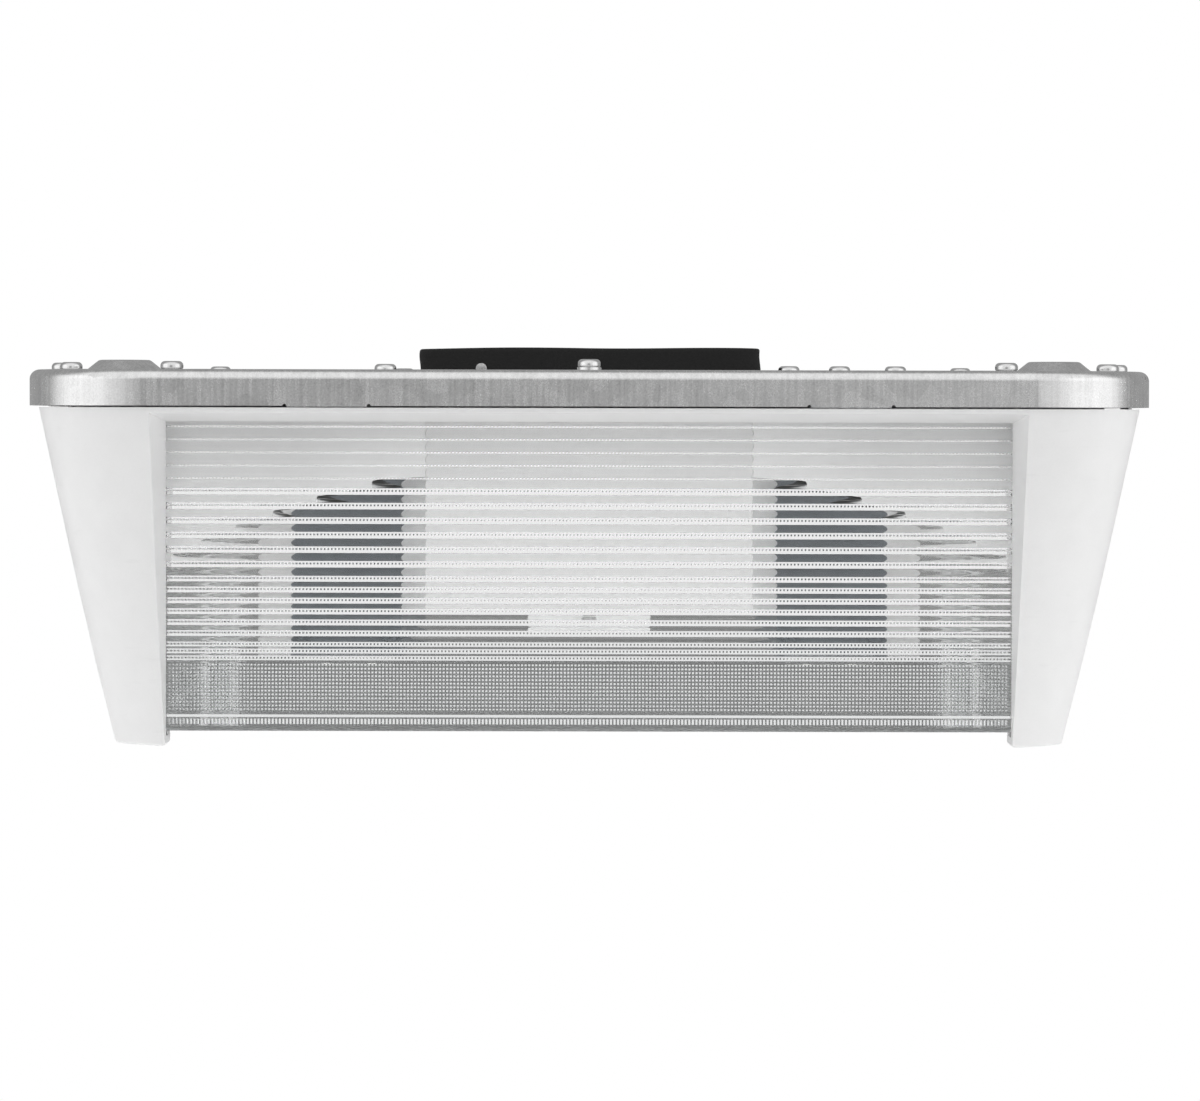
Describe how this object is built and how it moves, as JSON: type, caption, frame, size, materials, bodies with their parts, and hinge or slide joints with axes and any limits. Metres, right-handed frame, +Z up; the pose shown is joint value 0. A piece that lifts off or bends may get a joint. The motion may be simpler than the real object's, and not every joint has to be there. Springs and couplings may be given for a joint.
{
  "type": "led canopy light",
  "caption": "Square ceiling-mount canopy light: steel pan with foam gasket, white corner-post frame that swings down, clear prismatic drop lens, and light bars beside a gear housing.",
  "frame": {"origin": "centre of the pan's top face, on the axis of the wiring entry", "axes": "+Z up to the ceiling, -Y to the front as pictured, +X to the hinge side of the frame"},
  "size_m": [0.4064, 0.4064, 0.146],
  "materials": {
    "galvanised_sheet": "spangled galvanised sheet",
    "zinc_fastener": "bright zinc",
    "white_nylon": "white moulded rivet",
    "white_moulding": "satin white",
    "white_paint": "satin white paint",
    "clear_lens": "clear, prismatic",
    "black_foam": "closed-cell foam",
    "pale_seal": "soft silicone",
    "dark_anodised": "slate anodised",
    "opal_strip": "frosted opal",
    "white_board": "white solder mask",
    "phosphor": "yellow phosphor",
    "driver_case": "plain sheet case",
    "grey_nylon": "grey nylon",
    "lead_sleeve": "sleeve"
  },
  "bodies": {
    "canopy": {"bar_plugs": "grey_nylon", "bar_screws": "zinc_fastener", "board_screws": "zinc_fastener", "corner_gusset_front_left": "galvanised_sheet", "corner_gusset_front_right": "galvanised_sheet", "corner_gusset_rear_left": "galvanised_sheet", "corner_gusset_rear_right": "galvanised_sheet", "cover_screws": "zinc_fastener", "end_cap_screws": "dark_anodised", "frame_guide_front": "galvanised_sheet", "frame_guide_left": "galvanised_sheet", "frame_guide_rear": "galvanised_sheet", "frame_guide_right": "galvanised_sheet", "front_end_cap_left": "dark_anodised", "front_end_cap_right": "dark_anodised", "gear_housing": "white_paint", "ground_screw": "zinc_fastener", "hinge_pin_front": "zinc_fastener", "hinge_pin_rear": "zinc_fastener", "housing_rivets": "white_nylon", "housing_screws": "zinc_fastener", "led_bar_left": "dark_anodised", "led_bar_right": "dark_anodised", "led_board_left": "white_board", "led_board_right": "white_board", "led_driver": "driver_case", "led_emitters_left": "phosphor", "led_emitters_right": "phosphor", "lock_washers": "zinc_fastener", "mounting_gasket": "black_foam", "output_leads": "lead_sleeve", "pan_screws": "zinc_fastener", "rear_end_cap_left": "dark_anodised", "rear_end_cap_right": "dark_anodised", "reflector_left": "white_paint", "reflector_right": "white_paint", "reflector_screws": "zinc_fastener", "service_cover": "white_paint", "side_lens_left": "opal_strip", "side_lens_right": "opal_strip", "side_screws": "zinc_fastener", "strike_nut_front": "zinc_fastener", "strike_nut_rear": "zinc_fastener", "stud_nuts": "zinc_fastener", "supply_leads": "lead_sleeve", "surge_leads": "lead_sleeve", "surge_protector": "grey_nylon", "surge_screws": "zinc_fastener", "terminal_block": "grey_nylon", "top_pan": "galvanised_sheet", "wire_bushing": "grey_nylon"},
    "frame": {"lens_frame": "white_moulding", "refractor": "clear_lens", "lens_gasket": "pale_seal", "lens_pads": "pale_seal", "frame_gasket": "black_foam", "lens_clips": "galvanised_sheet", "clip_screws": "zinc_fastener"},
    "captive_front": {"captive_screw_front": "zinc_fastener"},
    "captive_rear": {"captive_screw_rear": "zinc_fastener"}
  },
  "joints": [
    {"name": "frame_hinge", "type": "hinge", "parent": "canopy", "child": "frame", "pos_m": [0.2002, 0, -0.017], "axis": [0, -1, 0], "range_deg": [0, 90]},
    {"name": "captive_front_turn", "type": "hinge", "parent": "frame", "child": "captive_front", "pos_m": [-0.195, -0.093, -0.017], "axis": [0, 0, 1], "continuous": true},
    {"name": "captive_rear_turn", "type": "hinge", "parent": "frame", "child": "captive_rear", "pos_m": [-0.195, 0.093, -0.017], "axis": [0, 0, 1], "continuous": true}
  ]
}
